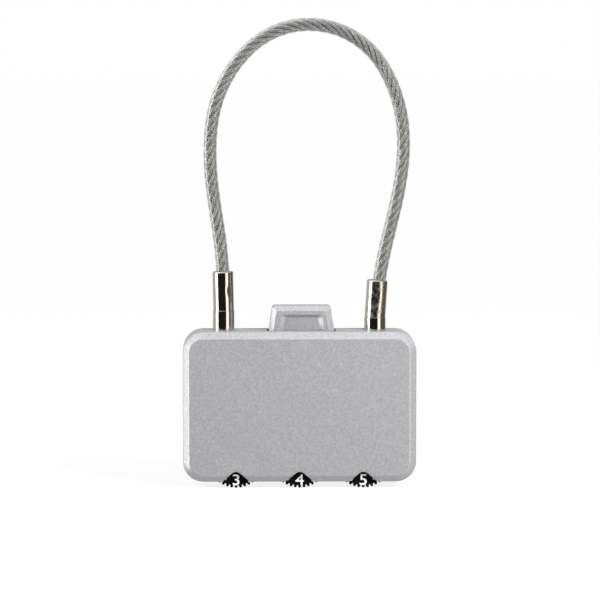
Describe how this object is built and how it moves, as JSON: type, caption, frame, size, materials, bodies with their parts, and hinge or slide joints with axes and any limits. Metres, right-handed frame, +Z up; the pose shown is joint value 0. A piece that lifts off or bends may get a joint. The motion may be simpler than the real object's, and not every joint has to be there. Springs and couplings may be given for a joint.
{
  "type": "cable luggage lock",
  "caption": "Briefcase-shaped combination lock with toothed number dials, a press handle and a pull-out coated cable loop.",
  "frame": {"origin": "under the case, in the middle of its width and depth, at the height of the dials' lowest teeth", "axes": "+Z up through the cable loop, +Y out of the plain rear face, number faces look along -Y, pull-out pin at +X"},
  "size_m": [0.04, 0.01, 0.0803],
  "materials": {
    "case_paint": "satin silver metallic paint with a fine grain",
    "sleeve_nickel": "bright warm nickel plate",
    "dial_black": "black plastic with white numbers",
    "clear_coating": "clear soft plastic",
    "rope_steel": "bright twisted wire",
    "hub_brass": "machined",
    "plate_steel": "stamped, zinc plated",
    "spring_steel": "drawn wire and strip",
    "rivet_steel": "turned"
  },
  "bodies": {
    "case": {"front_shell": "case_paint", "rear_shell": "case_paint", "case_rivets": "rivet_steel", "dial_axles": "plate_steel", "guide_pins": "plate_steel", "detent_spring_left": "spring_steel", "detent_spring_mid": "spring_steel", "detent_spring_right": "spring_steel", "anchor_pin": "sleeve_nickel", "anchor_clip": "plate_steel", "anchor_sleeve": "sleeve_nickel", "wire_rope": "rope_steel", "cable_jacket": "clear_coating", "handle_springs": "spring_steel"},
    "dial_left": {"number_wheel_left": "dial_black", "gate_hub_left": "hub_brass"},
    "dial_mid": {"number_wheel_mid": "dial_black", "gate_hub_mid": "hub_brass"},
    "dial_right": {"number_wheel_right": "dial_black", "gate_hub_right": "hub_brass"},
    "handle": {"handle": "case_paint", "fence_plate": "plate_steel", "fence_rivets": "plate_steel", "cam_pin": "plate_steel"},
    "latch": {"latch_bolt": "hub_brass"},
    "plug": {"plug_pin": "sleeve_nickel", "plug_sleeve": "sleeve_nickel"}
  },
  "joints": [
    {"name": "dial_left_turn", "type": "hinge", "parent": "case", "child": "dial_left", "pos_m": [-0.0109, 0, 0.00504], "axis": [0, 1, 0], "continuous": true, "deforming": ["detent_spring_left"]},
    {"name": "dial_mid_turn", "type": "hinge", "parent": "case", "child": "dial_mid", "pos_m": [0, 0, 0.00504], "axis": [0, 1, 0], "continuous": true, "deforming": ["detent_spring_mid"]},
    {"name": "dial_right_turn", "type": "hinge", "parent": "case", "child": "dial_right", "pos_m": [0.0109, 0, 0.00504], "axis": [0, 1, 0], "continuous": true, "deforming": ["detent_spring_right"]},
    {"name": "handle_press", "type": "slide", "parent": "case", "child": "handle", "axis": [0, 0, -1], "range_m": [0, 0.0016], "stiffness_N_per_m": 300, "springref_m": -0.001, "deforming": ["handle_springs"]},
    {"name": "latch_slide", "type": "slide", "parent": "case", "child": "latch", "axis": [1, 0, 0], "range_m": [0, 0.0012]},
    {"name": "plug_pull", "type": "slide", "parent": "case", "child": "plug", "axis": [0, 0, 1], "range_m": [0, 0.0125], "deforming": ["wire_rope", "cable_jacket"]}
  ],
  "couplings": [
    {"joint": "latch_slide", "follows": "handle_press", "ratio": 0.75}
  ]
}
